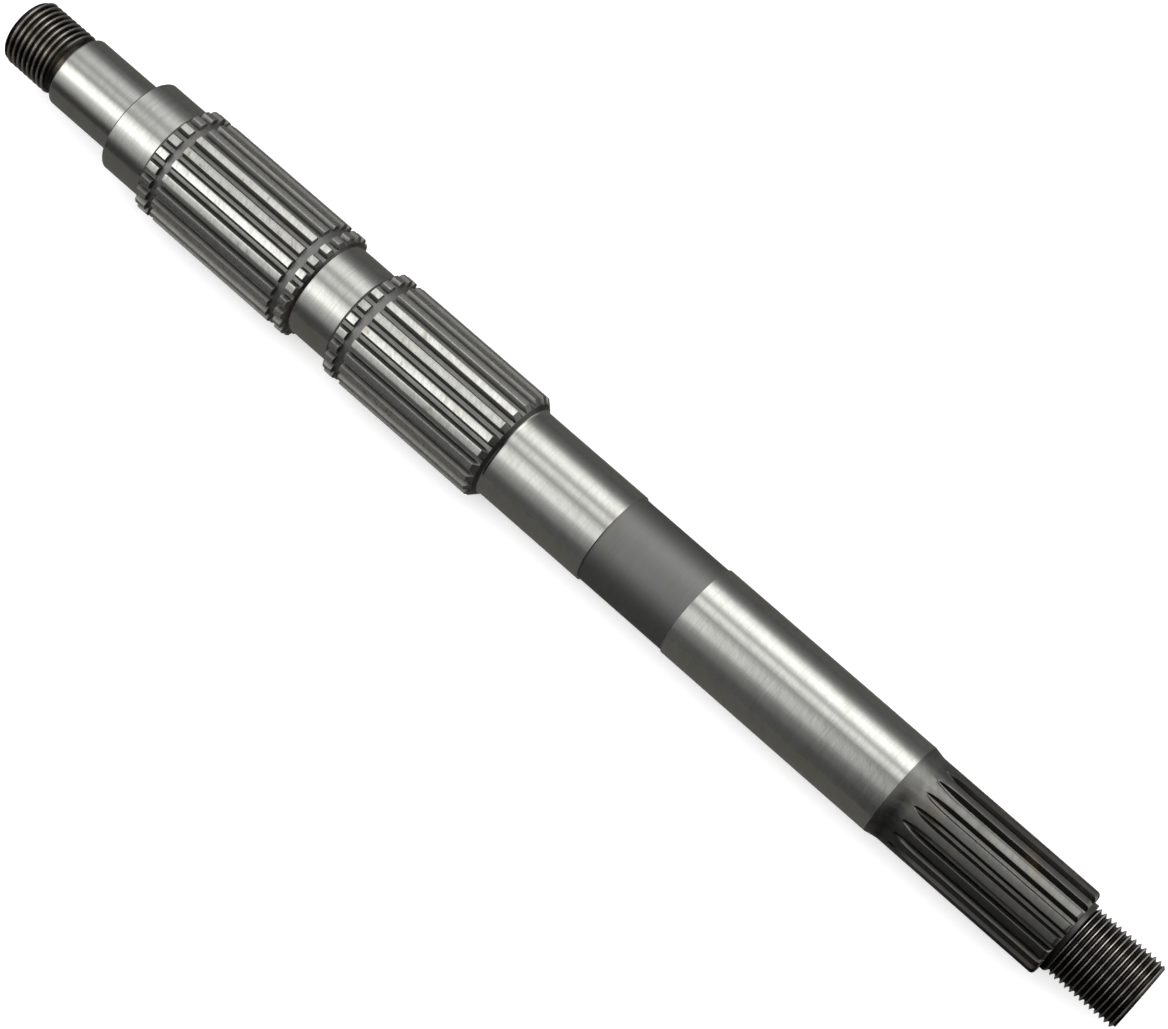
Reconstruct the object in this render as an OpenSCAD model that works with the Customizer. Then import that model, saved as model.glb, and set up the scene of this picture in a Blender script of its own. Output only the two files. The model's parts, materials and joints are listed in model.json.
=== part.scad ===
// Transmission main shaft, turned, hobbed and ground from one bar of steel.
// The axis lies along X. X = 0 is the shoulder that the end bearing seats against,
// -X runs to the bearing nut's thread and +X to the clutch hub's thread.

/* [Bearing nut thread] */
// Major diameter of the right-hand thread at the bearing end
nut_thread_d = 18.5; // [17:0.05:19.5]
// Length of that thread, up to its relief groove
nut_thread_l = 14.35; // [8:0.05:30]
// Pitch of that thread, which also sets how deep its relief groove is cut
nut_thread_pitch = 1.66; // [1:0.01:2]
// Width of the relief groove between the thread and the bearing seat
nut_relief_w = 2.85; // [1:0.05:4]

/* [Bearing seat] */
// Diameter of the ground seat of the end bearing
seat_d = 20; // [19.7:0.05:23]
// Length of the seat, from its shoulder to the relief groove
seat_l = 22.1; // [10:0.1:40]
// Radius on the seat's outer edge
seat_edge_r = 0.6; // [0.2:0.1:1]

/* [Collar] */
// Diameter of the ground collar behind the bearing
collar_d = 26.6; // [25:0.05:27.5]
// Length of the collar, from the bearing shoulder to the first tooth ring
collar_l = 12.75; // [6:0.05:30]
// Bevel on the collar's edge at the bearing shoulder
collar_bevel = 0.4; // [0.2:0.1:1]

/* [Gear splines] */
// Diameter over the teeth that the gears slide on
gear_od = 30.55; // [29.5:0.05:34]
// Diameter across the floors of the tooth spaces
gear_root_d = 27.8; // [27.6:0.05:28.5]
// Number of teeth around the gear splines
gear_teeth = 22; // [18:1:24]
// Width of a tooth space at the tooth tips
gear_space_w = 2.26; // [1.6:0.02:2.5]
// Width of a tooth space at its floor
gear_floor_w = 1.05; // [0.6:0.05:1.3]
// Turn of the lowest tooth away from straight down
gear_turn = 2; // [-8:0.1:8]
// Length of the long spline next to the collar
spline_a_l = 39.35; // [20:0.05:60]
// Length of the long spline next to the journals
spline_b_l = 41.35; // [20:0.05:60]
// Axial length of the bevel on the tooth ends at the collar and the neck
tooth_bevel = 0.55; // [0.2:0.05:1]

/* [Tooth rings and snap ring grooves] */
// Length of the tooth ring next to the collar
ring_a_l = 3.15; // [1.5:0.05:6]
// Length of the tooth ring on the left of the neck
ring_b_l = 2.4; // [1.5:0.05:6]
// Length of the tooth ring on the right of the neck
ring_c_l = 2.65; // [1.5:0.05:6]
// Width of the snap ring groove behind the first tooth ring
groove_a_w = 2.1; // [1.2:0.05:3]
// Width of the snap ring groove on the left of the neck
groove_b_w = 2.35; // [1.2:0.05:3]
// Width of the snap ring groove on the right of the neck
groove_c_w = 2.35; // [1.2:0.05:3]
// Depth of the snap ring grooves below the floors of the tooth spaces
groove_drop = 0.1; // [0.05:0.05:0.3]

/* [Neck] */
// Diameter of the neck between the two splined lengths
neck_d = 26.45; // [24:0.05:27]
// Length of the neck between its two sloping shoulders
neck_l = 12.1; // [6:0.1:30]

/* [Journals] */
// Diameter of the ground journal next to the gear splines
journal_a_d = 25.4; // [25:0.05:26]
// Length of that journal
journal_a_l = 31.85; // [15:0.05:60]
// Radius of the fillet between the spline's end slope and the journal
journal_fillet = 1; // [0.4:0.1:2]
// Diameter of the shallow recess between the journals
recess_d = 24.6; // [23:0.05:24.9]
// Length of the recess
recess_l = 26.6; // [10:0.1:50]
// Diameter of the long ground journal
journal_b_d = 25.35; // [25:0.05:26]
// Length of the long journal
journal_b_l = 63.2; // [30:0.1:100]

/* [Hub spline] */
// Diameter over the teeth of the hub spline
hub_od = 24.1; // [23.5:0.05:24.8]
// Diameter across the floors of the hub spline's tooth spaces
hub_root_d = 21.2; // [20:0.05:22]
// Number of teeth around the hub spline
hub_teeth = 18; // [12:1:18]
// Width of a hub tooth space at the tooth tips
hub_space_w = 2.1; // [1.4:0.05:2.6]
// Width of a hub tooth space at its floor
hub_floor_w = 0.7; // [0.4:0.05:1.2]
// Turn of the lowest hub tooth space away from straight down
hub_turn = -1.2; // [-9:0.1:9]
// Length of the taper from the long journal down to the hub spline
hub_taper_l = 3.1; // [1:0.1:6]
// Length of the hub spline, with its plain start
hub_l = 46.9; // [30:0.1:80]
// Plain length before the tooth spaces begin
hub_plain_l = 2.7; // [1:0.1:8]
// Length over which the tooth spaces run down to their full depth
hub_runout_l = 8.3; // [4:0.1:15]
// Radius on the hub teeth's outer ends
hub_end_r = 1.1; // [0.4:0.1:1.3]

/* [Hub nut thread] */
// Major diameter of the left-hand thread at the clutch end
hub_thread_d = 19.05; // [17.5:0.05:19.5]
// Length of that thread
hub_thread_l = 20.15; // [10:0.05:35]
// Pitch of that thread
hub_thread_pitch = 1.45; // [1:0.01:2]
// Diameter of the short plain shoulder behind the thread
hub_shoulder_d = 19.4; // [19.2:0.05:20]
// Length of the short plain shoulder behind the thread
hub_shoulder_l = 1.25; // [0.5:0.05:4]

/* [Shaft ends] */
// Bevel on both ends of the shaft
end_bevel = 1; // [0.4:0.1:2]
// Mouth diameter of the centre hole in each end
centre_mouth_d = 6.3; // [4:0.1:9]
// Pilot diameter of the centre holes
centre_pilot_d = 2.5; // [1.6:0.1:3.5]
// Depth of the centre holes, without the drill's tip
centre_depth = 5.6; // [5.5:0.1:9]

/* [Hidden] */
$fn = 96;

// Radii of the turned lengths
nut_thread_r = nut_thread_d / 2;
seat_r = seat_d / 2;
collar_r = collar_d / 2;
gear_r = gear_od / 2;
gear_root_r = gear_root_d / 2;
groove_r = gear_root_r - groove_drop;
neck_r = neck_d / 2;
journal_a_r = journal_a_d / 2;
recess_r = recess_d / 2;
journal_b_r = journal_b_d / 2;
hub_r = hub_od / 2;
hub_root_r = hub_root_d / 2;
hub_shoulder_r = hub_shoulder_d / 2;
hub_thread_r = hub_thread_d / 2;

// Each thread is a row of rings between grooves with 60 degree walls. The shares of
// its pitch are its depth, the flats on its crests and how far in its first groove lies.
thread_depth_share = 0.6134;
thread_crest_share = 0.125;
nut_first_share = 0.52;
hub_first_share = 0.86;

// The relief groove lies just under the thread's root
relief_drop = 0.05;
nut_relief_r = nut_thread_r - thread_depth_share * nut_thread_pitch - relief_drop;

// Places along the axis, from the bearing shoulder to the left
seat_x = -seat_l;
nut_thread_x = seat_x - nut_relief_w;
left_x = nut_thread_x - nut_thread_l;

// Places along the axis, from the bearing shoulder to the right.
// The shoulders beside the collar and the neck rise at 45 degrees to the tooth
// space floors, and the tooth ends go on from there with their steeper bevel.
ring_a_floor_x = collar_l + gear_root_r - collar_r;
ring_a_x = ring_a_floor_x + tooth_bevel;
groove_a_x = ring_a_x + ring_a_l;
spline_a_x = groove_a_x + groove_a_w;
groove_b_x = spline_a_x + spline_a_l;
ring_b_x = groove_b_x + groove_b_w;
ring_b_end_x = ring_b_x + ring_b_l;
ring_b_floor_x = ring_b_end_x + tooth_bevel;
neck_x = ring_b_floor_x + gear_root_r - neck_r;
neck_end_x = neck_x + neck_l;
ring_c_floor_x = neck_end_x + gear_root_r - neck_r;
ring_c_x = ring_c_floor_x + tooth_bevel;
groove_c_x = ring_c_x + ring_c_l;
spline_b_x = groove_c_x + groove_c_w;
spline_b_end_x = spline_b_x + spline_b_l;
journal_a_x = spline_b_end_x + gear_r - journal_a_r;
recess_x = journal_a_x + journal_a_l;
journal_b_x = recess_x + recess_l;
taper_x = journal_b_x + journal_b_l;
hub_x = taper_x + hub_taper_l;
hub_end_x = hub_x + hub_l;
hub_thread_x = hub_end_x + hub_shoulder_l;
right_x = hub_thread_x + hub_thread_l;

// The centre holes have a 60 degree mouth and a 120 degree drill tip
centre_mouth_r = centre_mouth_d / 2;
centre_pilot_r = centre_pilot_d / 2;
centre_mouth_l = (centre_mouth_r - centre_pilot_r) / tan(30);
centre_tip_l = centre_pilot_r / tan(60);

// The cutter that forms the hub's tooth spaces leaves a run-out of its own radius
hub_depth = hub_r - hub_root_r;
cutter_r = (hub_runout_l ^ 2 + hub_depth ^ 2) / (2 * hub_depth);
hub_full_x = hub_x + hub_plain_l + hub_runout_l;

// How far a cutting shape reaches past the surface that it cuts
over = 1;

// Outline of the turned blank, as radius and place along the axis
blank_outline = [
  [0, left_x + centre_depth + centre_tip_l],
  [centre_pilot_r, left_x + centre_depth],
  [centre_pilot_r, left_x + centre_mouth_l],
  [centre_mouth_r, left_x],
  [nut_thread_r - end_bevel, left_x],
  [nut_thread_r, left_x + end_bevel],
  [nut_thread_r, nut_thread_x],
  [nut_relief_r, nut_thread_x + nut_thread_r - nut_relief_r],
  [nut_relief_r, seat_x],
  [seat_r, seat_x],
  [seat_r, 0],
  [collar_r - collar_bevel, 0],
  [collar_r, collar_bevel],
  [collar_r, collar_l],
  [gear_root_r, ring_a_floor_x],
  [gear_r, ring_a_x],
  [gear_r, groove_a_x],
  [groove_r, groove_a_x],
  [groove_r, spline_a_x],
  [gear_r, spline_a_x],
  [gear_r, groove_b_x],
  [groove_r, groove_b_x],
  [groove_r, ring_b_x],
  [gear_r, ring_b_x],
  [gear_r, ring_b_end_x],
  [gear_root_r, ring_b_floor_x],
  [neck_r, neck_x],
  [neck_r, neck_end_x],
  [gear_root_r, ring_c_floor_x],
  [gear_r, ring_c_x],
  [gear_r, groove_c_x],
  [groove_r, groove_c_x],
  [groove_r, spline_b_x],
  [gear_r, spline_b_x],
  [gear_r, spline_b_end_x],
  [journal_a_r, journal_a_x],
  [journal_a_r, recess_x],
  [recess_r, recess_x],
  [recess_r, journal_b_x],
  [journal_b_r, journal_b_x],
  [journal_b_r, taper_x],
  [hub_r, hub_x],
  [hub_r, hub_end_x],
  [hub_shoulder_r, hub_end_x],
  [hub_shoulder_r, hub_thread_x],
  [hub_thread_r, hub_thread_x],
  [hub_thread_r, right_x - end_bevel],
  [hub_thread_r - end_bevel, right_x],
  [centre_mouth_r, right_x],
  [centre_pilot_r, right_x - centre_mouth_l],
  [centre_pilot_r, right_x - centre_depth],
  [0, right_x - centre_depth - centre_tip_l]
];

// What a rounded outer corner takes away. The corner is at radius r and place x,
// and side is -1 where the free end is to the left of it and 1 to the right.
module corner_waste(r, x, corner_r, side) {
  translate([r - corner_r, x - side * corner_r])
    difference() {
      translate([0, side > 0 ? 0 : -corner_r - over])
        square(corner_r + over);
      circle(corner_r);
    }
}

// Fillet in the corner between the 45 degree end slope and the journal
module slope_fillet() {
  run = journal_fillet * tan(22.5);
  rise = run * sin(45);
  difference() {
    polygon([
      [journal_a_r - over, journal_a_x],
      [journal_a_r, journal_a_x],
      [journal_a_r + rise, journal_a_x - rise],
      [journal_a_r, journal_a_x + run],
      [journal_a_r - over, journal_a_x + run]
    ]);
    translate([journal_a_r + journal_fillet, journal_a_x + run])
      circle(journal_fillet);
  }
}

// Grooves between the rings of a thread, from the first groove's place to the last's
module thread_grooves(r, pitch, first_x, last_x) {
  depth = thread_depth_share * pitch;
  mouth = pitch * (1 - thread_crest_share) / 2;
  low = mouth - depth * tan(30);
  for (x = [first_x:pitch:last_x])
    translate([r, x])
      polygon([
        [-depth, -low],
        [0, -mouth],
        [over, -mouth],
        [over, mouth],
        [0, mouth],
        [-depth, low]
      ]);
}

// Everything the lathe and the grinder leave, before any teeth are cut
module turned_blank() {
  rotate([0, 90, 0])
    rotate_extrude() {
      difference() {
        polygon(blank_outline);
        corner_waste(seat_r, seat_x, seat_edge_r, -1);
        corner_waste(hub_r, hub_end_x, hub_end_r, 1);
        thread_grooves(
          nut_thread_r, nut_thread_pitch,
          left_x + nut_first_share * nut_thread_pitch, nut_thread_x
        );
        thread_grooves(
          hub_thread_r, hub_thread_pitch,
          hub_thread_x + hub_first_share * hub_thread_pitch, right_x - end_bevel
        );
      }
      slope_fillet();
    }
}

// Half the width of a space whose flanks are straight, at a height over its floor
function half_space(floor_w, tip_w, depth, height) =
  (floor_w + (tip_w - floor_w) * height / depth) / 2;

// One straight tooth space, seen along the shaft, open outwards past the tips
module space_section(root_r, tip_r, floor_w, tip_w) {
  depth = tip_r - root_r;
  low = half_space(floor_w, tip_w, depth, 0);
  high = half_space(floor_w, tip_w, depth, depth + over);
  polygon([
    [root_r, -low],
    [tip_r + over, -high],
    [tip_r + over, high],
    [root_r, low]
  ]);
}

// The gear splines' tooth spaces run through every ring and both long splines.
// They stay clear of the collar, the neck and the journal, which are thinner.
module gear_spaces() {
  pitch = 360 / gear_teeth;
  translate([collar_l, 0, 0])
    rotate([0, 90, 0])
      for (i = [0:gear_teeth - 1])
        rotate(gear_turn + (i + 0.5) * pitch)
          linear_extrude(journal_a_x - collar_l)
            space_section(gear_root_r, gear_r, gear_floor_w, gear_space_w);
}

// One hub tooth space: a straight run to the end of the spline, and the round
// path of the cutter where it was lifted out of the shaft
module hub_space() {
  reach = hub_depth + over;
  low = half_space(hub_floor_w, hub_space_w, hub_depth, 0);
  high = half_space(hub_floor_w, hub_space_w, hub_depth, reach);
  translate([0, 0, hub_full_x])
    linear_extrude(hub_end_x - hub_full_x + over / 2)
      space_section(hub_root_r, hub_r, hub_floor_w, hub_space_w);
  translate([hub_root_r + cutter_r, 0, hub_full_x])
    rotate([90, 0, 0])
      rotate_extrude()
        polygon([
          [cutter_r - reach, -high],
          [cutter_r, -low],
          [cutter_r, low],
          [cutter_r - reach, high]
        ]);
}

module hub_spaces() {
  pitch = 360 / hub_teeth;
  rotate([0, 90, 0])
    for (i = [0:hub_teeth - 1])
      rotate(hub_turn + i * pitch)
        hub_space();
}

module main_shaft() {
  color("silver")
    difference() {
      turned_blank();
      gear_spaces();
      hub_spaces();
    }
}

main_shaft();
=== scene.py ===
"""The transmission main shaft with its real edges, threads and finishes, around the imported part."""
import json
from math import asin, atan2, cos, pi, radians, sin, sqrt, tan

import bmesh
import bpy
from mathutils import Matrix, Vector


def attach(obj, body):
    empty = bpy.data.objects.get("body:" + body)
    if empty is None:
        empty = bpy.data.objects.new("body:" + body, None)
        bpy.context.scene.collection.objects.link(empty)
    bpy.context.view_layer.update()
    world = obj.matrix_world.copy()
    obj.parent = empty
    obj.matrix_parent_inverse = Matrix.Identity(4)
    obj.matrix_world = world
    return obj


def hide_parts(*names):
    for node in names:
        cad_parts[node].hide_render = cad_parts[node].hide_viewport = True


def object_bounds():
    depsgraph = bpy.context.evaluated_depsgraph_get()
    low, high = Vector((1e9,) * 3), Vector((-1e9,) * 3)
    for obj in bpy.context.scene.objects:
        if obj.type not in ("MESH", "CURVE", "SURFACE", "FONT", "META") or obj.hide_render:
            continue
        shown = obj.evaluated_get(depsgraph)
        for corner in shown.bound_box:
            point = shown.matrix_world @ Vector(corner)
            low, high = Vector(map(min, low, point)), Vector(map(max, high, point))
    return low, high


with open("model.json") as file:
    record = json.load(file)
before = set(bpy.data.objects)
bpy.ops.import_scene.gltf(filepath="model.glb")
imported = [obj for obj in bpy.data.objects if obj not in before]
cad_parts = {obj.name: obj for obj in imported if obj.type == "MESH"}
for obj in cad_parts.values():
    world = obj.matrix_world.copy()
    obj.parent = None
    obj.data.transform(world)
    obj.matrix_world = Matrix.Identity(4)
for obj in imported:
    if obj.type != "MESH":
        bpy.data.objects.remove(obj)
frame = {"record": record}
cad_low, cad_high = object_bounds()

# One millimetre in the scene's metres
MM = 0.001
mount = {m["name"]: m for m in frame["record"]["mounts"]}


def mount_radius(name):
    """Radius of the surface that this mount is on."""
    return mount[name]["dims"]["r_mm"] * MM


# Radii that the frame's mounts give
seat_r = mount_radius("end_bearing_seat")
journal_a_r = mount_radius("journal_a")
journal_b_r = mount_radius("journal_b")
nut_thread_r = mount_radius("end_nut_thread")
hub_thread_r = mount_radius("hub_nut_thread")
gear_r = mount_radius("gear_spline_a")
groove_r = mount_radius("snap_ring_groove_a")
hub_r = mount_radius("hub_spline")

# Radii of the lengths that nothing is fitted to
nut_relief_r = 8.18 * MM
collar_r = 13.3 * MM
gear_floor_r = 13.9 * MM
neck_r = 13.225 * MM
recess_r = 12.3 * MM
hub_floor_r = 10.6 * MM
hub_shoulder_r = 9.7 * MM

# Teeth of the gear splines: width at the tips, width of the spaces' floors, turn of the lowest tooth
gear_teeth = 22
gear_land_w = 1.92 * MM
gear_floor_w = 1.05 * MM
gear_turn = radians(2.4)

# Teeth of the hub spline: width of the spaces at the tips and at their floors, turn of the lowest space
hub_teeth = 18
hub_space_w = 2.2 * MM
hub_floor_w = 0.9 * MM
hub_turn = radians(-1.8)

# The hub's tooth spaces: plain length before them, and length of the cutter's run-out
hub_plain_l = 2.7 * MM
hub_runout_l = 8.3 * MM

# Depth that the hub's tooth spaces start with, and height of their lower corners, as shares of the depth
hub_least_share = 0.004
hub_low_share = 0.22

# Places along the axis, measured from the collar's left face and in order from the shaft's left end
left_x = cad_low.x
relief_x = -24.95 * MM
seat_x = -22.1 * MM
collar_end_x = 12.75 * MM
groove_a_x = 17.05 * MM
spline_a_x = 19.15 * MM
groove_b_x = 58.5 * MM
ring_b_x = 60.85 * MM
ring_b_end_x = 63.25 * MM
neck_x = 64.475 * MM
neck_end_x = 76.575 * MM
groove_c_x = 80.45 * MM
spline_b_x = 82.8 * MM
spline_b_end_x = 124.15 * MM
journal_a_x = spline_b_end_x + gear_r - journal_a_r
recess_x = 158.575 * MM
journal_b_x = 185.175 * MM
taper_x = 248.375 * MM
hub_x = 251.475 * MM
hub_end_x = 298.375 * MM
hub_thread_x = 299.625 * MM
right_x = cad_high.x

# Bevels and rounded edges
end_bevel = 1 * MM
seat_edge_r = 0.6 * MM
collar_bevel = 0.4 * MM
tooth_bevel = 0.55 * MM
groove_slope_l = 0.2 * MM
shoulder_slope = radians(45)
journal_fillet = 1 * MM
hub_end_round = 1.1 * MM
edge_break = 0.09 * MM

# Centre holes in both end faces, with a 60 degree countersink and a drill's tip
centre_mouth_r = 3.15 * MM
centre_pilot_r = 1.25 * MM
centre_depth = 5.6 * MM
countersink_slope = radians(30)
drill_tip_slope = radians(60)

# Threads: pitches, and where a crest of each passes the front
nut_thread_pitch = 1.66 * MM
hub_thread_pitch = 1.45 * MM
nut_crest_x = -26.05 * MM
hub_crest_x = 301.6 * MM
front_angle = radians(194)

# Thread form: flank angle, and depth, crest width and rounding as shares of the pitch
thread_flank_slope = radians(30)
thread_depth_share = 0.6134
thread_crest_share = 0.1
thread_round_share = 0.07
thread_steps = 72

# Edges sharper than the first angle are broken, and those sharper than the second are shaded sharp
broken_edge = radians(28)
shaded_edge = radians(24)

# How near points are merged, places count as the same, and a face counts as on a surface
merge_distance = 0.001 * MM
same_place = 0.02 * MM
on_surface = 0.05 * MM

# The bar's outline has as many points as both tooth counts divide, and the ends' blanks have fewer
RING = 198
END_RING = 144
GEAR_PERIOD = RING // gear_teeth
HUB_PERIOD = RING // hub_teeth


def clear_selection():
    """Nothing stays selected, the CAD nodes included."""
    if bpy.context.object and bpy.context.object.mode != "OBJECT":
        bpy.ops.object.mode_set(mode="OBJECT")
    bpy.ops.object.select_all(action="DESELECT")


def make_active(piece):
    """Only this piece is selected and worked on."""
    clear_selection()
    piece.select_set(True)
    bpy.context.view_layer.objects.active = piece


def apply_modifier(piece, kind, **settings):
    """Adds a modifier with these settings and applies it at once."""
    make_active(piece)
    modifier = piece.modifiers.new(kind.lower(), kind)
    for name, value in settings.items():
        setattr(modifier, name, value)
    bpy.ops.object.modifier_apply(modifier=modifier.name)


def from_bottom(point):
    """Angle of a point around the shaft, from straight down towards +Y."""
    return atan2(point.y, -point.z)


class Bar:
    """A bar that grows ring by ring along X, as if turned, with its open end ready for the next length."""

    def __init__(self, name, x, radius, count=RING, turn=0.0):
        clear_selection()
        bpy.ops.mesh.primitive_circle_add(
            vertices=count, radius=radius, fill_type="NGON", location=(x, 0, 0), rotation=(0, pi / 2, 0)
        )
        self.piece = bpy.context.object
        self.piece.name = name
        bpy.ops.object.transform_apply(location=True, rotation=True, scale=True)
        bpy.ops.object.mode_set(mode="EDIT")
        self.count = count
        self.step = 2 * pi / count
        self.period = 1
        self.groups = [None]
        self.turn = pi / 2
        self.aim(turn)

    def ring(self):
        """The open end's vertices, which are the newest ones, from a tooth pitch's middle line on."""
        self.shape = bmesh.from_edit_mesh(self.piece.data)
        self.shape.verts.ensure_lookup_table()
        return self.shape.verts[-self.count:]

    def pick(self, places=None):
        """Selects the open end, or only its vertices at these places of each tooth pitch, and gives them."""
        bpy.ops.mesh.select_all(action="DESELECT")
        chosen = [v for k, v in enumerate(self.ring()) if places is None or k % self.period in places]
        for vertex in chosen:
            vertex.select = True
        self.shape.select_flush_mode()
        return chosen

    def rotate(self, angle):
        """Turns what is selected about the axis, from straight down towards +Y."""
        bpy.ops.transform.rotate(value=-angle, orient_axis="X", center_override=(0, 0, 0))

    def aim(self, turn, period=1):
        """Turns the open end until a tooth pitch of so many points is centred on this angle."""
        self.pick()
        self.rotate(turn - self.turn)
        self.turn = turn
        self.period = period

    def set_radius(self, radius, places=None):
        """Brings the open end, or these places of it, to this distance from the axis."""
        for group in self.groups if places is None else [places]:
            chosen = self.pick(group)
            ratio = radius / chosen[0].co.yz.length
            bpy.ops.transform.resize(value=(1, ratio, ratio), center_override=(chosen[0].co.x, 0, 0))

    def set_aside(self, angle, place):
        """Brings both points that are so many places aside of a pitch's middle to this angle from it."""
        for side in (1, -1):
            first = self.pick([side * place % self.period])[0]
            middle = self.turn if side > 0 else self.turn + self.step * self.period
            now = (from_bottom(first.co) - middle + pi) % (2 * pi) - pi
            self.rotate(side * angle - now)

    def to(self, x, radius=None):
        """Draws the open end out to this place along the axis, and to this radius."""
        along = x - self.pick()[0].co.x
        bpy.ops.mesh.extrude_edges_move(TRANSFORM_OT_translate={"value": (along, 0, 0)})
        if radius is not None:
            self.set_radius(radius)

    def toothed_to(self, x, *radii):
        """Draws a toothed length out to this place, with these radii of its tips and its floors."""
        self.to(x)
        for radius, group in zip(radii, self.groups):
            self.set_radius(radius, group)

    def close(self):
        """Fills the open end with a face and ends the drawing."""
        self.pick()
        bpy.ops.mesh.edge_face_add()
        self.finish()

    def close_to_point(self, x):
        """Draws the open end to one point on the axis and ends the drawing."""
        self.to(x)
        bpy.ops.mesh.merge(type="CENTER")
        self.finish()

    def finish(self):
        """Merges points in the same place and turns all faces outwards."""
        bpy.ops.mesh.select_all(action="SELECT")
        bpy.ops.mesh.remove_doubles(threshold=merge_distance)
        bpy.ops.mesh.normals_make_consistent(inside=False)
        bpy.ops.object.mode_set(mode="OBJECT")


def quarter_round(corner_x, corner_r, radius, side):
    """Points of a rounded outer corner as place and radius, towards +X. side is -1 at a left end."""
    steps = 4
    turns = [k * pi / 2 / steps for k in range(steps + 1)]
    if side < 0:
        turns.reverse()
    centre_x = corner_x - side * radius
    return [(centre_x + side * radius * sin(a), corner_r - radius + radius * cos(a)) for a in turns]


def gear_teeth_on(bar):
    """Sets the bar's open end up for the gear splines' teeth."""
    bar.aim(gear_turn, GEAR_PERIOD)
    land = (0, 1, 2, 7, 8)
    floor = (3, 4, 5, 6)
    bar.groups = [land, floor]
    bar.set_aside(asin(gear_land_w / 2 / gear_r), 2)
    bar.set_aside(pi / gear_teeth - asin(gear_floor_w / 2 / gear_floor_r), 3)


def snap_ring_groove(bar, x, end_x):
    """A groove through the tips of all teeth, just under the floors of their spaces."""
    bar.toothed_to(x, gear_r, gear_floor_r)
    bar.toothed_to(x, groove_r, gear_floor_r)
    bar.toothed_to(x + groove_slope_l, groove_r, groove_r)
    bar.toothed_to(end_x - groove_slope_l, groove_r, groove_r)
    bar.toothed_to(end_x, groove_r, gear_floor_r)
    bar.toothed_to(end_x, gear_r, gear_floor_r)


def shoulder_up(bar, x, low_r):
    """The 45 degree shoulder from a plain length up to the floors, and the bevelled starts of the teeth."""
    bar.to(x, low_r)
    floor_x = x + gear_floor_r - low_r
    bar.to(floor_x, gear_floor_r)
    bar.toothed_to(floor_x + tooth_bevel, gear_r, gear_floor_r)


def hub_space(bar, x, depth):
    """Brings the hub spline's open end to the tooth spaces' shape where they are this deep."""
    full = hub_r - hub_floor_r
    share = sqrt(depth / full)
    bar.to(x, hub_r)
    bar.set_aside(asin(hub_space_w / 2 * share / hub_r), 3)
    root_r = hub_r - depth
    low_w = hub_floor_w + hub_low_share * (hub_space_w - hub_floor_w)
    bar.set_aside(asin(low_w / 2 * share / hub_r), 2)
    bar.set_aside(asin(hub_floor_w / 2 * share / hub_r), 1)
    bar.set_radius(root_r + hub_low_share * depth, bar.groups[1])
    bar.set_radius(root_r, bar.groups[2])


def turn_body():
    """The shaft between its two threads, from the bearing seat to the shoulder behind the hub's thread."""
    seat_round = quarter_round(seat_x, seat_r, seat_edge_r, -1)
    bar = Bar("shaft_body", seat_x, seat_round[0][1], turn=gear_turn)
    for x, radius in seat_round[1:]:
        bar.to(x, radius)
    bar.to(0, seat_r)
    bar.to(0, collar_r - collar_bevel)
    bar.to(collar_bevel, collar_r)
    gear_teeth_on(bar)
    shoulder_up(bar, collar_end_x, collar_r)
    snap_ring_groove(bar, groove_a_x, spline_a_x)
    snap_ring_groove(bar, groove_b_x, ring_b_x)
    bar.toothed_to(ring_b_end_x, gear_r, gear_floor_r)
    bar.to(ring_b_end_x + tooth_bevel, gear_floor_r)
    bar.to(neck_x, neck_r)
    shoulder_up(bar, neck_end_x, neck_r)
    snap_ring_groove(bar, groove_c_x, spline_b_x)
    bar.toothed_to(spline_b_end_x, gear_r, gear_floor_r)
    bar.to(spline_b_end_x + gear_r - gear_floor_r, gear_floor_r)
    fillet_steps = 4
    for k in range(fillet_steps + 1):
        bend = shoulder_slope * (1 - k / fillet_steps)
        x = journal_a_x + journal_fillet * (tan(shoulder_slope / 2) - sin(bend))
        bar.to(x, journal_a_r + journal_fillet * (1 - cos(bend)))
    bar.to(recess_x, journal_a_r)
    bar.to(recess_x, recess_r)
    bar.to(journal_b_x, recess_r)
    bar.to(journal_b_x, journal_b_r)
    bar.to(taper_x, journal_b_r)
    bar.to(hub_x, hub_r)
    cut_hub_spline(bar)
    bar.to(hub_end_x, hub_shoulder_r)
    bar.to(hub_thread_x - edge_break, hub_shoulder_r)
    bar.to(hub_thread_x, hub_shoulder_r - edge_break)
    bar.close()
    return bar.piece


def cut_hub_spline(bar):
    """The hub spline's tooth spaces, from the cutter's run-out to the rounded ends of the teeth."""
    bar.set_aside(2 * bar.step, 2)
    bar.set_aside(3 * bar.step, 3)
    bar.aim(hub_turn, HUB_PERIOD)
    land = (3, 4, 5, 6, 7, 8)
    low = (2, 9)
    floor = (0, 1, 10)
    bar.groups = [land, low, floor]
    full = hub_r - hub_floor_r
    cutter_r = (hub_runout_l ** 2 + full ** 2) / (2 * full)
    start_x = hub_x + hub_plain_l
    full_x = start_x + hub_runout_l
    least = full * hub_least_share
    hub_space(bar, start_x, least)
    steps = 12
    closer_at_start = 1.5
    for k in range(1, steps + 1):
        x = start_x + hub_runout_l * (k / steps) ** closer_at_start
        root_r = hub_floor_r + cutter_r - sqrt(cutter_r ** 2 - (full_x - x) ** 2)
        hub_space(bar, x, max(hub_r - root_r, least))
    for x, radius in quarter_round(hub_end_x, hub_r, hub_end_round, 1):
        bar.to(x)
        bar.set_radius(radius, land)


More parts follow.
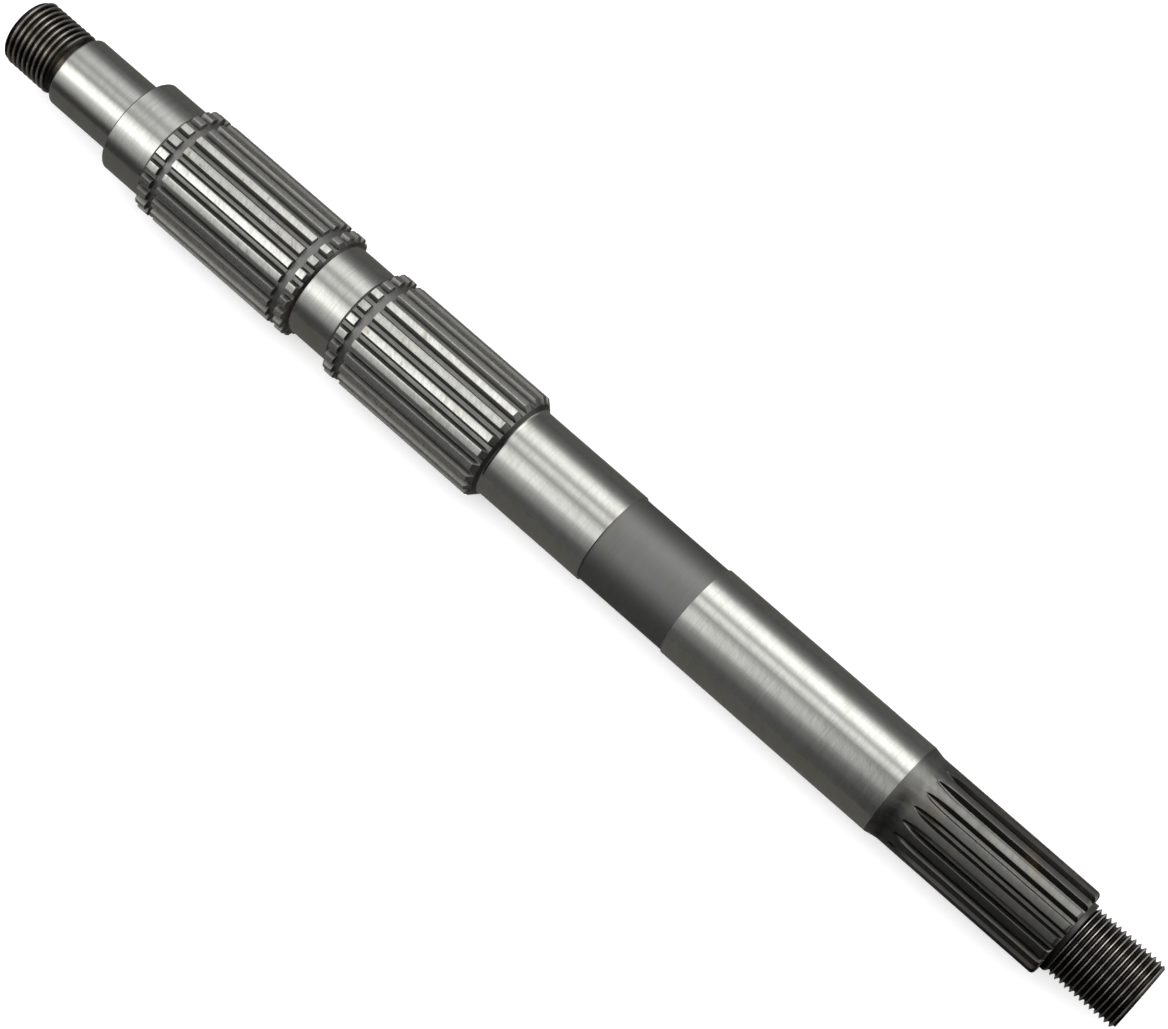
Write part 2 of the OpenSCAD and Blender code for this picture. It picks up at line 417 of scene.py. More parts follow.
def thread_rod(name, x, end_x, radius, pitch, crest_x, hand):
    """A threaded rod with flat ends, with a crest at crest_x in front. hand is 1 for a right-hand thread."""
    depth = thread_depth_share * pitch
    crest_w = thread_crest_share * pitch
    flank_w = depth * tan(thread_flank_slope)
    root_w = pitch - crest_w - 2 * flank_w
    drawn_at = pi / 2
    shift = hand * pitch * (front_angle - drawn_at) / (2 * pi)
    first_x = crest_x - shift - pitch * (2 + (crest_x - x) // pitch)
    spare_turns = 5
    turns = int((end_x - x) / pitch) + spare_turns
    merge_l = pitch / 1000
    cut_l = pitch / 200
    clear_selection()
    bpy.ops.mesh.primitive_plane_add(size=pitch)
    rod = bpy.context.object
    rod.name = name
    bpy.ops.object.mode_set(mode="EDIT")
    bpy.ops.mesh.merge(type="CENTER")
    bpy.ops.transform.translate(value=(first_x - pitch / 2, radius - depth, 0))
    outline = ((root_w / 2, 0), (flank_w, depth), (crest_w, 0), (flank_w, -depth), (root_w / 2, 0))
    for along, up in outline:
        bpy.ops.mesh.extrude_vertices_move(TRANSFORM_OT_translate={"value": (along, up, 0)})
    shape = bmesh.from_edit_mesh(rod.data)
    bpy.ops.mesh.select_all(action="DESELECT")
    for vertex in shape.verts:
        vertex.select = len(vertex.link_edges) == 2
    shape.select_flush_mode()
    bpy.ops.mesh.bevel(offset=thread_round_share * pitch, segments=3, affect="VERTICES")
    apply_modifier(
        rod, "SCREW", axis="X", angle=hand * 2 * pi, screw_offset=pitch, iterations=turns,
        steps=thread_steps, render_steps=thread_steps, use_smooth_shade=False
    )
    bpy.ops.object.mode_set(mode="EDIT")
    bpy.ops.mesh.select_all(action="SELECT")
    bpy.ops.mesh.remove_doubles(threshold=merge_l)
    for cut_x, side in ((x, -1), (end_x, 1)):
        bpy.ops.mesh.select_all(action="SELECT")
        bpy.ops.mesh.bisect(
            plane_co=(cut_x, 0, 0), plane_no=(side, 0, 0), use_fill=True, clear_outer=True, threshold=cut_l
        )
    bpy.ops.mesh.select_all(action="SELECT")
    bpy.ops.mesh.normals_make_consistent(inside=False)
    bpy.ops.object.mode_set(mode="OBJECT")
    return rod


def combine(piece, other, operation):
    """Joins or trims a piece with another closed shape, which is used up."""
    apply_modifier(piece, "BOOLEAN", object=other, operation=operation, solver="MANIFOLD")
    bpy.data.objects.remove(other)


def end_blank(name, outline):
    """A turned blank around one end of the shaft, from inside it out to the end's face and centre hole."""
    (x, radius), *others, tip = outline
    blank = Bar(name, x, radius, count=END_RING)
    for x, radius in others:
        blank.to(x, radius)
    blank.close_to_point(tip[0])
    return blank.piece


def centre_hole(face_x, side):
    """Outline of an end face's centre hole, from its mouth inwards. side is -1 at the left end."""
    mouth_l = (centre_mouth_r - centre_pilot_r) / tan(countersink_slope)
    tip_l = centre_pilot_r / tan(drill_tip_slope)
    return [
        (face_x, centre_mouth_r),
        (face_x - side * mouth_l, centre_pilot_r),
        (face_x - side * centre_depth, centre_pilot_r),
        (face_x - side * (centre_depth + tip_l), 0),
    ]


def bearing_nut_thread():
    """The right-hand thread at the bearing end with its relief groove, up to inside the seat."""
    inside = 1 * MM
    clear = 0.15 * MM
    slope_l = nut_thread_r - nut_relief_r
    blank = end_blank("nut_thread_blank", [
        (seat_x + inside, nut_relief_r),
        (relief_x + slope_l, nut_relief_r),
        (relief_x - clear, nut_thread_r + clear),
        (left_x + end_bevel + clear, nut_thread_r + clear),
        (left_x, nut_thread_r - end_bevel),
    ] + centre_hole(left_x, -1))
    rod = thread_rod(
        "nut_thread_rod", left_x - inside, seat_x + 2 * inside, nut_thread_r, nut_thread_pitch,
        nut_crest_x, 1
    )
    combine(blank, rod, "INTERSECT")
    return blank


def hub_nut_thread():
    """The left-hand thread at the clutch end, from inside its plain shoulder."""
    inside = 0.8 * MM
    clear = 0.15 * MM
    blank = end_blank("hub_thread_blank", [
        (hub_thread_x - inside, hub_thread_r + clear),
        (right_x - end_bevel - clear, hub_thread_r + clear),
        (right_x, hub_thread_r - end_bevel),
    ] + centre_hole(right_x, 1))
    rod = thread_rod(
        "hub_thread_rod", hub_thread_x - 2 * inside, right_x + inside, hub_thread_r, hub_thread_pitch,
        hub_crest_x, -1
    )
    combine(blank, rod, "INTERSECT")
    return blank


def break_edges(piece):
    """Takes the sharpness off the turned and cut edges, as the tumbling after cutting does."""
    make_active(piece)
    bpy.ops.object.mode_set(mode="EDIT")
    bpy.ops.mesh.select_all(action="DESELECT")
    bpy.ops.mesh.select_mode(type="EDGE")
    bpy.ops.mesh.edges_select_sharp(sharpness=broken_edge)
    bpy.ops.mesh.bevel(offset=edge_break, segments=2, affect="EDGES", clamp_overlap=False)
    bpy.ops.mesh.select_mode(type="VERT")
    bpy.ops.object.mode_set(mode="OBJECT")


def make_shaft():
    """The whole shaft as one closed piece."""
    shaft = turn_body()
    break_edges(shaft)
    combine(shaft, bearing_nut_thread(), "UNION")
    combine(shaft, hub_nut_thread(), "UNION")
    shaft.name = "main_shaft_finished"
    make_active(shaft)
    bpy.ops.object.shade_smooth_by_angle(angle=shaded_edge)
    apply_modifier(shaft, "WEIGHTED_NORMAL", mode="FACE_AREA", weight=50, keep_sharp=True)
    return shaft


shaft = make_shaft()
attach(shaft, "root")
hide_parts("main_shaft")


def node(tree, kind, inputs=None, **settings):
    """Adds a node with these settings, whose inputs take these values or links."""
    made = tree.nodes.new(kind)
    for name, value in settings.items():
        setattr(made, name, value)
    for name, value in (inputs or {}).items():
        if isinstance(value, bpy.types.NodeSocket):
            tree.links.new(value, made.inputs[name])
        else:
            made.inputs[name].default_value = value
    return made


def sum_of(tree, operation, *values):
    """A maths node on these values or links, and its result."""
    return node(tree, "ShaderNodeMath", dict(enumerate(values)), operation=operation).outputs[0]


def from_to(tree, value, low, high, smooth=True):
    """How far a value has come from low to high, as 0 to 1."""
    ends = {"Value": value, "From Min": low, "From Max": high}
    course = "SMOOTHSTEP" if smooth else "LINEAR"
    return node(tree, "ShaderNodeMapRange", ends, interpolation_type=course).outputs["Result"]


def mix_colours(tree, share, first, second):
    """The first colour, with this share of it taken by the second."""
    return node(tree, "ShaderNodeMix", {0: share, 6: first, 7: second}, data_type="RGBA").outputs[2]


def new_group(name, inputs, outputs):
    """An empty node group with these named sockets, and its two end nodes."""
    group = bpy.data.node_groups.new(name, "ShaderNodeTree")
    for socket, kind, value in inputs:
        made = group.interface.new_socket(socket, in_out="INPUT", socket_type=kind)
        if value is not None:
            made.default_value = value
    for socket, kind in outputs:
        group.interface.new_socket(socket, in_out="OUTPUT", socket_type=kind)
    return group, group.nodes.new("NodeGroupInput"), group.nodes.new("NodeGroupOutput")


def grinding_marks_group():
    """Fine rings around the shaft's axis that a grinding wheel or a turning tool leaves."""
    group, given, result = new_group("grinding_marks", [
        ("Position", "NodeSocketVector", None),
        ("Rings per mm", "NodeSocketFloat", 3.0),
        ("Evenness", "NodeSocketFloat", 30.0),
    ], [("Marks", "NodeSocketFloat")])
    along = sum_of(group, "MULTIPLY", given.outputs["Rings per mm"], 1 / MM)
    around = given.outputs["Evenness"]
    stretch = node(group, "ShaderNodeCombineXYZ", {0: along, 1: around, 2: around})
    stretched = {0: given.outputs["Position"], 1: stretch.outputs[0]}
    place = node(group, "ShaderNodeVectorMath", stretched, operation="MULTIPLY")
    look = {"Vector": place.outputs[0], "Scale": 1.0, "Detail": 3.0, "Roughness": 0.6}
    rings = node(group, "ShaderNodeTexNoise", look)
    group.links.new(rings.outputs[0], result.inputs["Marks"])
    return group


def mottling_group():
    """Uneven patches that handling and cleaning leave on a surface, drawn out askew by scratches."""
    group, given, result = new_group("mottling", [
        ("Position", "NodeSocketVector", None),
        ("Patch mm", "NodeSocketFloat", 1.2),
        ("Stretch", "NodeSocketFloat", 2.5),
    ], [("Patches", "NodeSocketFloat")])
    split = node(group, "ShaderNodeSeparateXYZ", {0: given.outputs["Position"]})
    lean = 0.55
    skew = sum_of(group, "ADD", split.outputs[0], sum_of(group, "MULTIPLY", split.outputs[1], lean))
    across = sum_of(group, "DIVIDE", split.outputs[1], given.outputs["Stretch"])
    upward = sum_of(group, "DIVIDE", split.outputs[2], given.outputs["Stretch"])
    place = node(group, "ShaderNodeCombineXYZ", {0: skew, 1: across, 2: upward})
    scale = sum_of(group, "DIVIDE", 1 / MM, given.outputs["Patch mm"])
    look = {"Vector": place.outputs[0], "Scale": scale, "Detail": 4.0, "Roughness": 0.62}
    patches = node(group, "ShaderNodeTexNoise", look)
    group.links.new(patches.outputs[0], result.inputs["Patches"])
    return group


def crest_light_group():
    """How near a place on a thread or a tooth is to its crest, as the mask for painted highlight at the
    crest and painted shade towards the valley.
    """
    group, given, result = new_group("crest_light", [
        ("Position", "NodeSocketVector", None),
        ("Valley radius", "NodeSocketFloat", 8 * MM),
        ("Crest radius", "NodeSocketFloat", 9 * MM),
    ], [("Crest lightness", "NodeSocketFloat")])
    without_x = {0: given.outputs["Position"], 1: (0, 1, 1)}
    across = node(group, "ShaderNodeVectorMath", without_x, operation="MULTIPLY").outputs[0]
    radius = node(group, "ShaderNodeVectorMath", {0: across}, operation="LENGTH").outputs["Value"]
    crest_lightness = from_to(group, radius, given.outputs["Valley radius"], given.outputs["Crest radius"])
    group.links.new(crest_lightness, result.inputs["Crest lightness"])
    return group


def steel_tone_group():
    """The steel's colour, roughness and height under its marks and patches, with stains of dried oil."""
    group, given, result = new_group("steel_tone", [
        ("Steel", "NodeSocketColor", (0.6, 0.6, 0.58, 1)),
        ("Oil", "NodeSocketColor", (0.30, 0.23, 0.13, 1)),
        ("Roughness", "NodeSocketFloat", 0.3),
        ("Marks", "NodeSocketFloat", 0.5),
        ("Patches", "NodeSocketFloat", 0.5),
        ("Stains", "NodeSocketFloat", 0.5),
        ("Mark depth", "NodeSocketFloat", 0.3),
        ("Patch depth", "NodeSocketFloat", 0.3),
        ("Oil amount", "NodeSocketFloat", 0.2),
        ("Mark mm", "NodeSocketFloat", 0.001),
        ("Patch mm", "NodeSocketFloat", 0.01),
    ], [("Colour", "NodeSocketColor"), ("Roughness", "NodeSocketFloat"), ("Height", "NodeSocketFloat")])
    noise_middle = 0.5
    stain_edge = (0.54, 0.70)
    mark_shine = 0.35
    patch_shine = 0.25
    oil_dullness = 0.15
    marks = sum_of(group, "SUBTRACT", given.outputs["Marks"], noise_middle)
    patches = sum_of(group, "SUBTRACT", given.outputs["Patches"], noise_middle)
    mark_shade = sum_of(group, "MULTIPLY", marks, given.outputs["Mark depth"])
    patch_shade = sum_of(group, "MULTIPLY", patches, given.outputs["Patch depth"])
    shade = sum_of(group, "ADD", sum_of(group, "ADD", mark_shade, patch_shade), 1.0)
    stained = from_to(group, given.outputs["Stains"], *stain_edge)
    oil_share = sum_of(group, "MULTIPLY", stained, given.outputs["Oil amount"])
    tinted = mix_colours(group, oil_share, given.outputs["Steel"], given.outputs["Oil"])
    shaded = node(group, "ShaderNodeVectorMath", {0: tinted, "Scale": shade}, operation="SCALE")
    rough = given.outputs["Roughness"]
    rough = sum_of(group, "SUBTRACT", rough, sum_of(group, "MULTIPLY", mark_shade, mark_shine))
    rough = sum_of(group, "SUBTRACT", rough, sum_of(group, "MULTIPLY", patch_shade, patch_shine))
    rough = sum_of(group, "ADD", rough, sum_of(group, "MULTIPLY", oil_share, oil_dullness))
    mark_height = sum_of(group, "MULTIPLY", marks, given.outputs["Mark mm"])
    patch_height = sum_of(group, "MULTIPLY", patches, given.outputs["Patch mm"])
    group.links.new(shaded.outputs[0], result.inputs["Colour"])
    group.links.new(rough, result.inputs["Roughness"])
    group.links.new(sum_of(group, "ADD", mark_height, patch_height), result.inputs["Height"])
    return group


marks_group = grinding_marks_group()
patches_group = mottling_group()
crest_light_tree = crest_light_group()
tone_group = steel_tone_group()


def steel(name, colour, roughness, rings, marks, patch_mm, patches, oil=0.15):
    """Bare steel with this tone. Its marks and its patches have a strength and a height in mm."""
    made = bpy.data.materials.new(name)
    made.use_nodes = True
    tree = made.node_tree
    shader = tree.nodes["Principled BSDF"]
    shader.inputs["Metallic"].default_value = 1
    place = tree.nodes.new("ShaderNodeTexCoord").outputs["Object"]
    rings_across = node(tree, "ShaderNodeGroup", node_tree=marks_group)
    mottled = node(tree, "ShaderNodeGroup", node_tree=patches_group)
    stains = node(tree, "ShaderNodeGroup", node_tree=patches_group)
    tone = node(tree, "ShaderNodeGroup", node_tree=tone_group)
    for pattern in (rings_across, mottled, stains):
        tree.links.new(place, pattern.inputs["Position"])
    rings_across.inputs["Rings per mm"].default_value = rings
    mottled.inputs["Patch mm"].default_value = patch_mm
    stain_size = 3
    stains.inputs["Patch mm"].default_value = stain_size * patch_mm
    stains.inputs["Stretch"].default_value = 1.5
    tree.links.new(rings_across.outputs["Marks"], tone.inputs["Marks"])
    tree.links.new(mottled.outputs["Patches"], tone.inputs["Patches"])
    tree.links.new(stains.outputs["Patches"], tone.inputs["Stains"])
    tone.inputs["Steel"].default_value = (*colour, 1)
    tone.inputs["Roughness"].default_value = roughness
    tone.inputs["Mark depth"].default_value, tone.inputs["Mark mm"].default_value = marks
    tone.inputs["Patch depth"].default_value, tone.inputs["Patch mm"].default_value = patches
    tone.inputs["Oil amount"].default_value = oil
    tree.links.new(tone.outputs["Colour"], shader.inputs["Base Color"])
    tree.links.new(tone.outputs["Roughness"], shader.inputs["Roughness"])
    relief = node(tree, "ShaderNodeBump", {"Height": tone.outputs["Height"], "Distance": MM})
    tree.links.new(relief.outputs["Normal"], shader.inputs["Normal"])
    return made


def radius_lit_steel(name, deep, lit_colour, deep_r, lit_r, roughness, **look):
    """Steel of one colour out to the first radius, and of another colour from the second radius on: painted
    shade deep down and painted light further out.
    """
    made = steel(name, deep, roughness, **look)
    tree = made.node_tree
    crest_lightness = node(tree, "ShaderNodeGroup", node_tree=crest_light_tree)
    tree.links.new(tree.nodes.new("ShaderNodeTexCoord").outputs["Object"], crest_lightness.inputs["Position"])
    crest_lightness.inputs["Valley radius"].default_value = deep_r
    crest_lightness.inputs["Crest radius"].default_value = lit_r
    mixed = mix_colours(tree, crest_lightness.outputs["Crest lightness"], (*deep, 1), (*lit_colour, 1))
    tone = next(n for n in tree.nodes if n.type == "GROUP" and n.node_tree == tone_group)
    tree.links.new(mixed, tone.inputs["Steel"])
    return made


def thread_steel(name, crest_highlight_colour, crest_r, pitch):
    """Steel with painted shade in a thread's valleys and a painted highlight along its crests."""
    depth = thread_depth_share * pitch
    # The near black valleys are painted shade
    valley_shade_colour = (0.055, 0.05, 0.042)
    dark_r = crest_r - 0.6 * depth
    bright_r = crest_r - 0.05 * depth
    return radius_lit_steel(
        name, valley_shade_colour, crest_highlight_colour, dark_r, bright_r, roughness=0.26,
        rings=1.0, marks=(0.1, 0.0007), patch_mm=1.6, patches=(1.0, 0.01), oil=0.12
    )


def is_between(value, low, high):
    """Whether a value is between these two, or as good as on one of them."""
    return low - same_place < value < high + same_place


def spline_finish_at(x, radius, is_flank):
    """Name of the finish on the gear splines at this place."""
    for start_x, end_x in ((groove_a_x, spline_a_x), (groove_b_x, ring_b_x), (groove_c_x, spline_b_x)):
        if is_between(x, start_x, end_x) and radius < groove_r + on_surface:
            return "groove_floors"
    if is_between(x, ring_b_end_x + tooth_bevel, neck_x) or x > spline_b_end_x + gear_r - gear_floor_r:
        return "shoulder_steel"
    if is_flank:
        return "spline_flanks"
    return "spline_lands" if radius > gear_r - same_place else "spline_floors"


def finish_at(x, radius, lean):
    """Name of the finish at this place, and for a face that leans so far towards one side of a tooth."""
    flank_lean = 0.45
    is_flank = abs(lean) > flank_lean
    fillet_l = 0.4 * MM
    if x < left_x + on_surface or x > right_x - on_surface or radius < centre_mouth_r:
        return "end_steel"
    if x < seat_x - same_place:
        return "nut_thread_steel"
    if x > hub_thread_x:
        return "hub_thread_steel"
    if x < collar_end_x or is_between(x, neck_x, neck_end_x):
        return "ground_steel"
    if x < journal_a_x - fillet_l:
        return spline_finish_at(x, radius, is_flank)
    if x < recess_x or is_between(x, journal_b_x, taper_x):
        return "ground_steel"
    if x < journal_b_x:
        return "recess_steel"
    # Hub flanks that face one way get a painted lit copy of their steel, and those facing the other way a
    # painted shaded copy
    if is_flank:
        return "hub_lit_flanks" if lean > 0 else "hub_shaded_flanks"
    if x > hub_end_x:
        return "hub_shoulder_steel"
    return "hub_steel"


def dress(piece, finishes):
    """Gives every face of the shaft the finish of its place."""
    piece.data.materials.clear()
    for finish in finishes:
        piece.data.materials.append(finish)
    names = [finish.name for finish in finishes]
    for face in piece.data.polygons:
        corners = [piece.data.vertices[k].co for k in face.vertices]
        middle = sum(corners, Vector()) / len(corners)
        radius = sum(c.yz.length for c in corners) / len(corners)
        lean = face.normal.yz.cross(middle.yz) / max(middle.yz.length, MM)
        face.material_index = names.index(finish_at(middle.x, radius, lean))


# The gear teeth's flanks have painted shade this near their floors, and are painted lighter this near their
# tips
flank_shade_margin = 0.2 * MM

dress(shaft, [
    steel(
        "ground_steel", (0.60, 0.605, 0.566), roughness=0.2,
        rings=2.5, marks=(0.26, 0.0008), patch_mm=3.2, patches=(0.22, 0.042)
    ),
    steel(
        "spline_lands", (0.70, 0.705, 0.66), roughness=0.27,
        rings=1.2, marks=(0.15, 0.0007), patch_mm=0.8, patches=(0.75, 0.002), oil=0.5
    ),
    steel(
        "spline_floors", (0.26, 0.26, 0.246), roughness=0.42,
        rings=1.0, marks=(0.1, 0.0005), patch_mm=2.0, patches=(0.5, 0.01)
    ),
    # The flanks' colours are painted shade near the floors and painted light near the tips
    radius_lit_steel(
        "spline_flanks", (0.14, 0.138, 0.128), (0.30, 0.298, 0.283),
        gear_floor_r + flank_shade_margin, gear_r - flank_shade_margin, roughness=0.42,
        rings=1.0, marks=(0.1, 0.0005), patch_mm=2.0, patches=(0.4, 0.01)
    ),
    steel(
        "groove_floors", (0.3, 0.3, 0.286), roughness=0.5,
        rings=3.0, marks=(0.2, 0.001), patch_mm=2.0, patches=(0.2, 0.01)
    ),
    steel(
        "shoulder_steel", (0.12, 0.118, 0.108), roughness=0.36,
        rings=2.0, marks=(0.2, 0.0007), patch_mm=2.0, patches=(0.4, 0.01)
    ),
    steel(
        "recess_steel", (0.272, 0.275, 0.262), roughness=0.52,
        rings=1.5, marks=(0.1, 0.001), patch_mm=4.0, patches=(0.1, 0.01)
    ),
    steel(
        "hub_steel", (0.208, 0.207, 0.192), roughness=0.35,
        rings=1.0, marks=(0.1, 0.0007), patch_mm=2.0, patches=(0.6, 0.01), oil=0.3
    ),
    # Painted lit and painted shaded copies of the hub flanks' steel
    steel(
        "hub_lit_flanks", (0.16, 0.158, 0.147), roughness=0.32,
        rings=1.0, marks=(0.1, 0.0005), patch_mm=2.0, patches=(0.4, 0.01)
    ),
    steel(
        "hub_shaded_flanks", (0.05, 0.048, 0.045), roughness=0.3,
        rings=1.0, marks=(0.1, 0.0005), patch_mm=2.0, patches=(0.4, 0.01), oil=0.2
    ),
    steel(
        "hub_shoulder_steel", (0.11, 0.108, 0.1), roughness=0.4,
        rings=2.0, marks=(0.2, 0.0007), patch_mm=2.0, patches=(0.5, 0.01), oil=0.2
    ),
    steel(
        "end_steel", (0.36, 0.358, 0.342), roughness=0.42,
        rings=2.0, marks=(0.2, 0.0007), patch_mm=2.0, patches=(0.4, 0.01)
    ),
    # The threads' crest colours are painted highlights, over valleys of painted shade
    thread_steel("nut_thread_steel", (0.62, 0.6, 0.56), nut_thread_r, nut_thread_pitch),
    thread_steel("hub_thread_steel", (0.85, 0.83, 0.79), hub_thread_r, hub_thread_pitch),
])


def add_camera():
    """The camera where the photograph was taken from."""
    aim = Vector((149.52 * MM, -0.19 * MM, 0))
    azimuth = radians(42.62)
    elevation = radians(71.35)
    distance = 747.2 * MM
    back = Vector((sin(azimuth) * cos(elevation), -cos(azimuth) * cos(elevation), sin(elevation)))
    towards_aim = (-back).to_track_quat("-Z", "Y").to_euler()
    clear_selection()
    bpy.ops.object.camera_add(location=aim + back * distance, rotation=towards_aim)
    camera = bpy.context.object
    camera.name = "photo_camera"
    camera.data.sensor_width = 36
    camera.data.lens = 97.09
    camera.data.clip_start = 0.01
    bpy.context.scene.camera = camera


def plain_material(name, colour):
    """A dull material without any gloss."""
    made = bpy.data.materials.new(name)
    made.use_nodes = True
    shader = made.node_tree.nodes["Principled BSDF"]
    shader.inputs["Base Color"].default_value = (*colour, 1)
    shader.inputs["Roughness"].default_value = 1
    shader.inputs["Specular IOR Level"].default_value = 0
    return made


def add_sheet(name, x, size, colour, hidden_from):
    """A level sheet that the shaft lies on, which these kinds of rays don't see."""
    clear_selection()
    bpy.ops.mesh.primitive_plane_add(size=1, location=(x, 0, -gear_r - same_place))
    sheet = bpy.context.object
    sheet.name = name
    sheet.scale = (*size, 1)
    bpy.ops.object.transform_apply(location=True, rotation=True, scale=True)
    sheet.data.materials.append(plain_material(name, colour))
    for ray in hidden_from:
        setattr(sheet, "visible_" + ray, False)
    return sheet


# The rays that don't see what is there for the steel's reflections alone
NOT_MIRRORED = ("camera", "diffuse", "shadow", "transmission", "volume_scatter")


def add_floor():
    """A white floor for the camera, and a grey mat in its place for the steel to reflect."""
    floor_glow = 0.3
    floor = add_sheet("floor", x=0.14, size=(8, 8), colour=(0.9, 0.9, 0.9), hidden_from=("glossy",))
    tree = floor.data.materials[0].node_tree
    seen = tree.nodes.new("ShaderNodeLightPath").outputs["Is Camera Ray"]
    shader = tree.nodes["Principled BSDF"]
    shader.inputs["Emission Color"].default_value = (1, 1, 1, 1)
    tree.links.new(sum_of(tree, "MULTIPLY", seen, floor_glow), shader.inputs["Emission Strength"])
    add_sheet("mat", x=-0.15, size=(0.8, 0.2), colour=(0.14, 0.136, 0.128), hidden_from=NOT_MIRRORED)


def soft_band_group():
    """One soft light on the tent, as a strength at each angle and place along it."""
    group, given, result = new_group("soft_band", [
        ("Angle", "NodeSocketFloat", 0.0),
        ("Along", "NodeSocketFloat", 0.0),
        ("Starts", "NodeSocketFloat", 0.0),
        ("Full from", "NodeSocketFloat", 0.0),
        ("Full to", "NodeSocketFloat", 0.0),
        ("Ends", "NodeSocketFloat", 0.0),
        ("Dim end", "NodeSocketFloat", -1.0),
        ("Bright end", "NodeSocketFloat", 1.0),
        ("Strength", "NodeSocketFloat", 1.0),
    ], [("Light", "NodeSocketFloat")])
    angle = given.outputs["Angle"]
    up = from_to(group, angle, given.outputs["Starts"], given.outputs["Full from"])
    down = from_to(group, angle, given.outputs["Ends"], given.outputs["Full to"])
    across = sum_of(group, "MULTIPLY", up, down)
    dim_x = given.outputs["Dim end"]
    bright_x = given.outputs["Bright end"]
    along = from_to(group, given.outputs["Along"], dim_x, bright_x, smooth=False)
    light = sum_of(group, "MULTIPLY", sum_of(group, "MULTIPLY", across, along), given.outputs["Strength"])
    group.links.new(light, result.inputs["Light"])
    return group


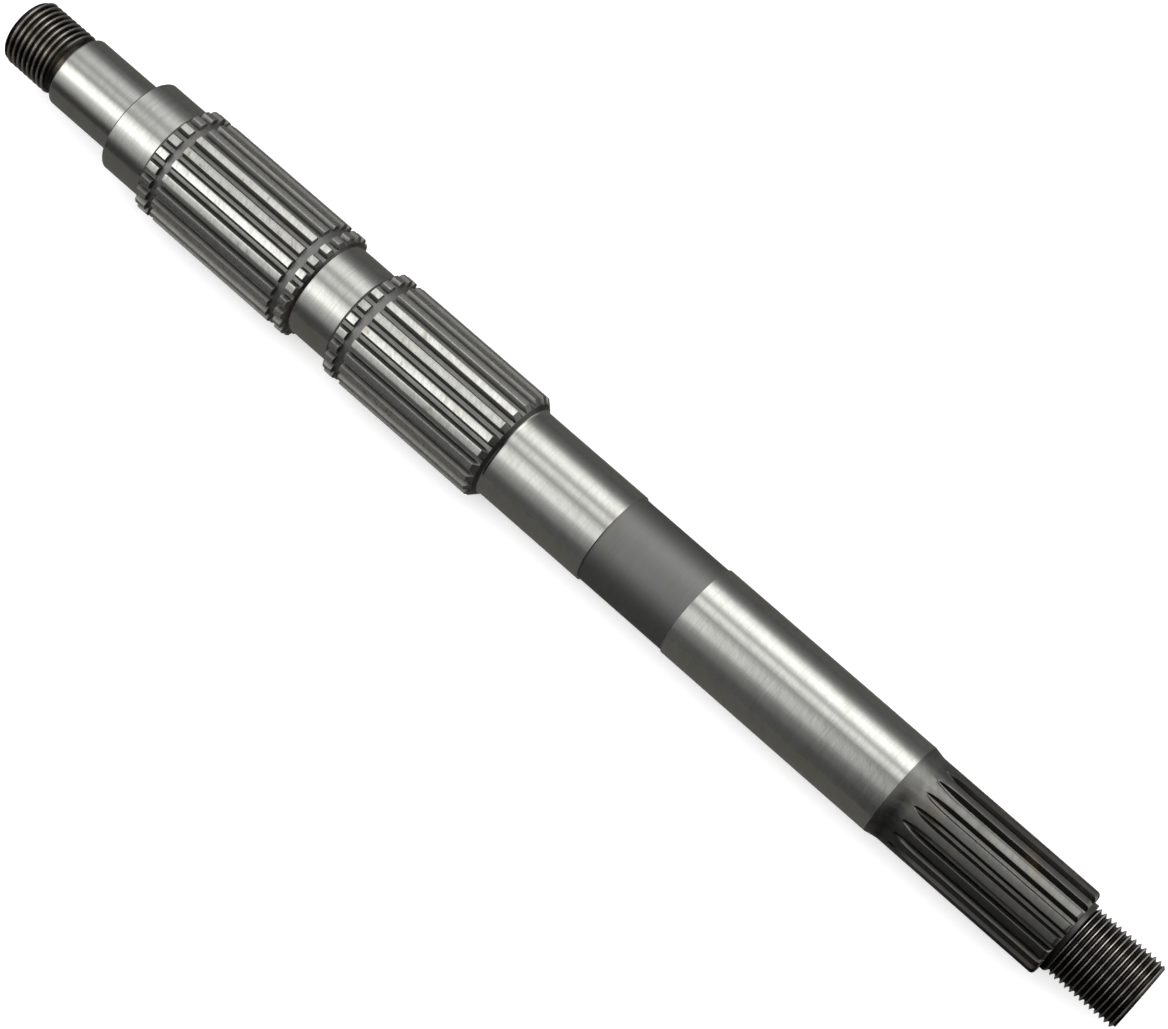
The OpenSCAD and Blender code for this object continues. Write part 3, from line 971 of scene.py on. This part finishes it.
def tent_material():
    """Soft lights on a grey tent. Angles are from straight up towards +Y, and places along it in metres."""
    made = bpy.data.materials.new("tent")
    made.use_nodes = True
    tree = made.node_tree
    tree.nodes.remove(tree.nodes["Principled BSDF"])
    place = tree.nodes.new("ShaderNodeTexCoord").outputs["Object"]
    split = node(tree, "ShaderNodeSeparateXYZ", {0: place})
    along = split.outputs[0]
    turn = sum_of(tree, "ARCTAN2", split.outputs[1], split.outputs[2])
    angle = sum_of(tree, "MULTIPLY", turn, 180 / pi)
    # The grey tent, darker towards the floor
    brightest_angle = 5
    away = sum_of(tree, "ABSOLUTE", sum_of(tree, "SUBTRACT", angle, brightest_angle))
    shades = {"Value": away, "From Min": 15, "From Max": 85, "To Min": 0.45, "To Max": 0.116}
    total = node(tree, "ShaderNodeMapRange", shades).outputs["Result"]
    # The lights, of which those with a strength below 0 are dark places
    names = ("Starts", "Full from", "Full to", "Ends", "Dim end", "Bright end", "Strength")
    lights = {
        "left light": (-52, -33, -22, -7, 0.35, -0.45, 1.37),
        "left light's tail": (-86, -45, -38, -24, 0.1, -0.35, 0.55),
        "right light": (17, 38, 40, 71, -0.7, 0.15, 1.62),
        "strip overhead": (-3, 3, 11, 20, -0.8, 0.1, 0.85),
        "low dark at the bearing end": (-120, -95, -84, -72, -0.1, -0.35, -0.07),
        "low dark at the clutch end": (-181, -180, -75, -25, 0.2, 0.28, -0.11),
        "rear light at the clutch end": (62, 95, 130, 165, 0.215, 0.28, 0.2),
    }
    band = soft_band_group()
    for label, settings in lights.items():
        light = node(tree, "ShaderNodeGroup", node_tree=band, label=label)
        tree.links.new(angle, light.inputs["Angle"])
        tree.links.new(along, light.inputs["Along"])
        for name, value in zip(names, settings):
            light.inputs[name].default_value = value
        total = sum_of(tree, "ADD", total, light.outputs["Light"])
    # The tent's light fades out towards both of its ends
    full_x = 0.75
    dark_x = 1.3
    for side in (1, -1):
        total = sum_of(tree, "MULTIPLY", total, from_to(tree, along, side * dark_x, side * full_x))
    # Grey walls beyond both ends, each from no light to full light along the tent and around it
    clutch_wall_grey = 0.62
    clutch_wall_x = (0.6, 1.0)
    clutch_wall_angle = (15, 70)
    bearing_wall_grey = 0.3
    bearing_wall_x = (-0.8, -1.3)
    bearing_wall_away = (120, 95)
    clutch_wall = sum_of(
        tree, "MULTIPLY", from_to(tree, along, *clutch_wall_x), from_to(tree, angle, *clutch_wall_angle)
    )
    clutch_wall = sum_of(tree, "MULTIPLY", clutch_wall, clutch_wall_grey)
    bearing_wall = sum_of(
        tree, "MULTIPLY", from_to(tree, along, *bearing_wall_x), from_to(tree, away, *bearing_wall_away)
    )
    bearing_wall = sum_of(tree, "MULTIPLY", bearing_wall, bearing_wall_grey)
    total = sum_of(tree, "ADD", total, sum_of(tree, "ADD", clutch_wall, bearing_wall))
    # A dark front towards the clutch end, and a dim corner at that end
    front_darkness = 0.95
    dark_front_angle = (20, -15)
    dark_front_x = (0.08, 0.38)
    corner_grey = 0.12
    corner_x = (0.9, 1.4)
    corner_angle = (-20, -50)
    front = sum_of(
        tree, "MULTIPLY", from_to(tree, angle, *dark_front_angle), from_to(tree, along, *dark_front_x)
    )
    shaded = sum_of(tree, "MULTIPLY", front, -front_darkness)
    total = sum_of(tree, "MULTIPLY", total, sum_of(tree, "ADD", shaded, 1))
    corner = sum_of(
        tree, "MULTIPLY", from_to(tree, along, *corner_x), from_to(tree, angle, *corner_angle)
    )
    total = sum_of(tree, "ADD", total, sum_of(tree, "MULTIPLY", corner, corner_grey))
    glow = node(tree, "ShaderNodeEmission", {"Strength": total})
    tree.links.new(glow.outputs[0], tree.nodes["Material Output"].inputs["Surface"])
    return made


def add_tent():
    """The tent of soft lights around the shaft, which only the steel's reflections show."""
    clear_selection()
    bpy.ops.mesh.primitive_cylinder_add(vertices=128, radius=1, depth=4, rotation=(0, pi / 2, 0))
    tent = bpy.context.object
    tent.name = "tent"
    bpy.ops.object.transform_apply(location=True, rotation=True, scale=True)
    tent.data.materials.append(tent_material())
    for ray in NOT_MIRRORED:
        setattr(tent, "visible_" + ray, False)


def add_lights():
    """A large soft lamp overhead and a plain pale world."""
    clear_selection()
    bpy.ops.object.light_add(type="AREA", location=(0.1, -0.15, 1.6))
    lamp = bpy.context.object
    lamp.name = "overhead_softbox"
    lamp.data.shape = "RECTANGLE"
    lamp.data.size = 1.8
    lamp.data.size_y = 1.4
    lamp.data.energy = 13
    lamp.visible_glossy = False
    world = bpy.data.worlds.new("studio")
    bpy.context.scene.world = world
    world.use_nodes = True
    world.node_tree.nodes["Background"].inputs["Color"].default_value = (1, 1, 1, 1)


add_camera()
add_floor()
add_tent()
add_lights()
bpy.context.scene.view_settings.view_transform = "Standard"
